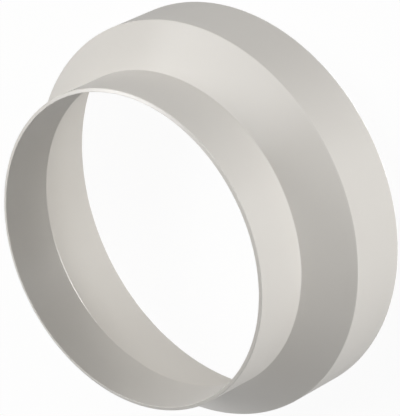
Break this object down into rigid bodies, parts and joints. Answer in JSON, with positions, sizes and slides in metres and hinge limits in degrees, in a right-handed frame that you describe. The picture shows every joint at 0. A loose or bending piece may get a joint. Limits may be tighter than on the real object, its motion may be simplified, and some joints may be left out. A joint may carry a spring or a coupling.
{
  "type": "duct reducer",
  "caption": "Moulded plastic duct reducer: a short cone joins a plain small sleeve to a plain larger sleeve, open right through for air.",
  "frame": {"origin": "centre of the large rim's end plane, on the duct's axis", "axes": "+Z along the duct's axis from the large end to the small end; X and Y are alike, because the part is round"},
  "size_m": [0.1274, 0.1274, 0.0495],
  "materials": {
    "body_plastic": "satin moulded"
  },
  "bodies": {
    "root": {"reducer_body": "body_plastic"}
  },
  "joints": []
}
